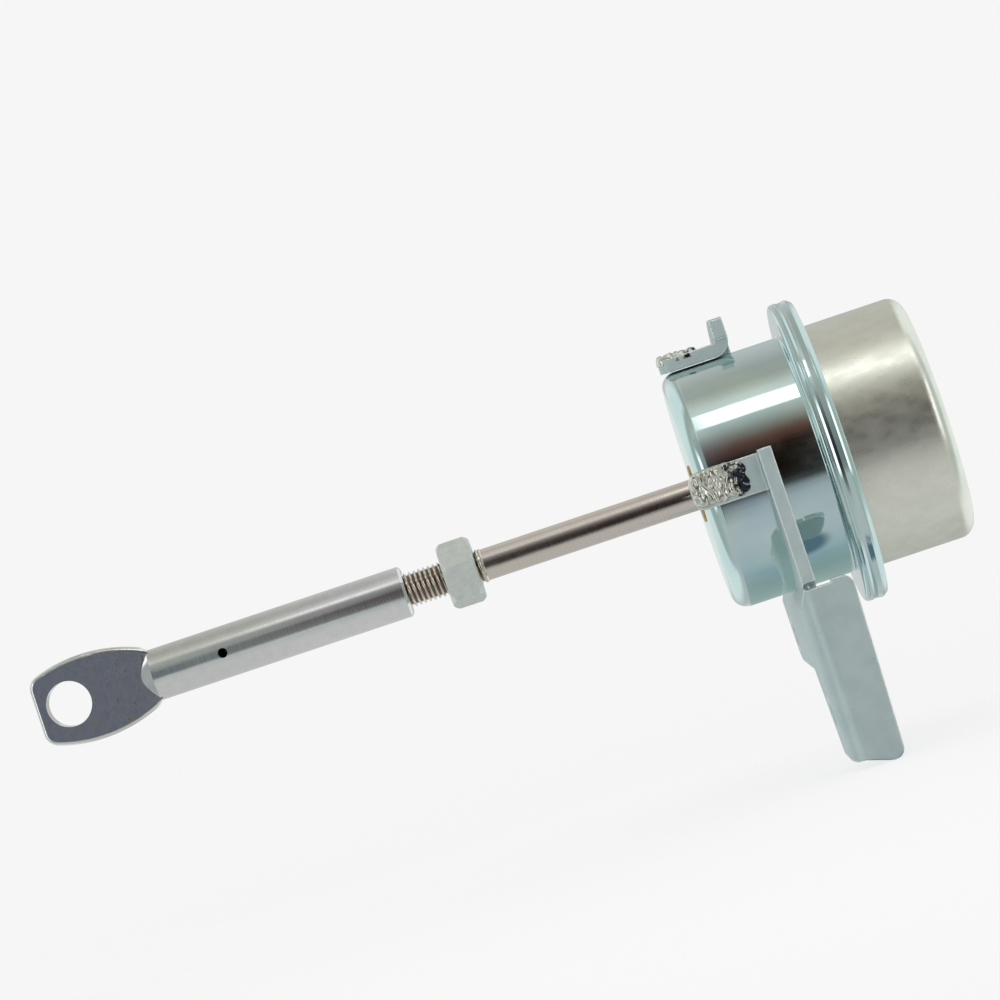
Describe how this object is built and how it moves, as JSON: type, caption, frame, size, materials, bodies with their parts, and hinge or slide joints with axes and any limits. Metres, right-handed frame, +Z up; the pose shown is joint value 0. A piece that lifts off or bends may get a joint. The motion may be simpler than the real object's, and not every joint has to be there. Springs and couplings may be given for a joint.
{
  "type": "turbo wastegate actuator",
  "caption": "Diaphragm actuator for a turbocharger wastegate: crimped steel cans on a welded bracket, with a spring-returned push rod and an adjustable rod end.",
  "frame": {"origin": "on the axis of the cans and rod, in the plane of the front face of the bracket's arms; the bolted plate is 1.6 mm further forward", "axes": "+X along that axis from the rod to the cans; +Z up, towards the bracket's top tab; -Y is the side that the leg's flange faces"},
  "size_m": [0.1726, 0.0673, 0.084],
  "materials": {
    "zinc_can": "bright zinc plate, smooth",
    "satin_can": "satin plated steel",
    "zinc_bracket": "dull zinc plate",
    "weld": "rippled plated weld",
    "polished_rod": "ground and polished",
    "plated_rod_end": "bright plated",
    "zinc_nut": "zinc plate",
    "rubber": "fabric-backed silicone rubber",
    "sintered": "sintered bronze",
    "seal": "filled fluoropolymer",
    "spring_steel": "oiled spring wire",
    "pressed_steel": "pressed sheet",
    "nipple_steel": "plated tube",
    "braze": "brazed fillet"
  },
  "bodies": {
    "housing": {"front_can": "zinc_can", "rear_can": "satin_can", "diaphragm": "rubber", "rod_bush": "sintered", "rod_seal": "seal", "spring_seat": "pressed_steel", "return_spring": "spring_steel", "bracket": "zinc_bracket", "near_tab_weld": "weld", "top_tab_weld": "weld", "far_tab_weld": "weld", "hose_nipple": "nipple_steel", "nipple_braze": "braze"},
    "rod": {"actuator_rod": "polished_rod", "backing_washer": "pressed_steel", "piston": "pressed_steel", "retainer_plate": "pressed_steel", "rivet_washer": "pressed_steel"},
    "lock_nut": {"lock_nut": "zinc_nut"},
    "rod_end": {"rod_end": "plated_rod_end"}
  },
  "joints": [
    {"name": "rod_stroke", "type": "slide", "parent": "housing", "child": "rod", "axis": [-1, 0, 0], "range_m": [0, 0.012], "stiffness_N_per_m": 4000, "springref_m": -0.012, "deforming": ["return_spring", "diaphragm"]},
    {"name": "lock_nut_run", "type": "slide", "parent": "rod", "child": "lock_nut", "axis": [-1, 0, 0], "range_m": [0, 0.0072]},
    {"name": "rod_end_turn", "type": "hinge", "parent": "rod", "child": "rod_end", "pos_m": [-0.0773, 0, 0], "axis": [1, 0, 0], "range_deg": [-180, 180]}
  ]
}
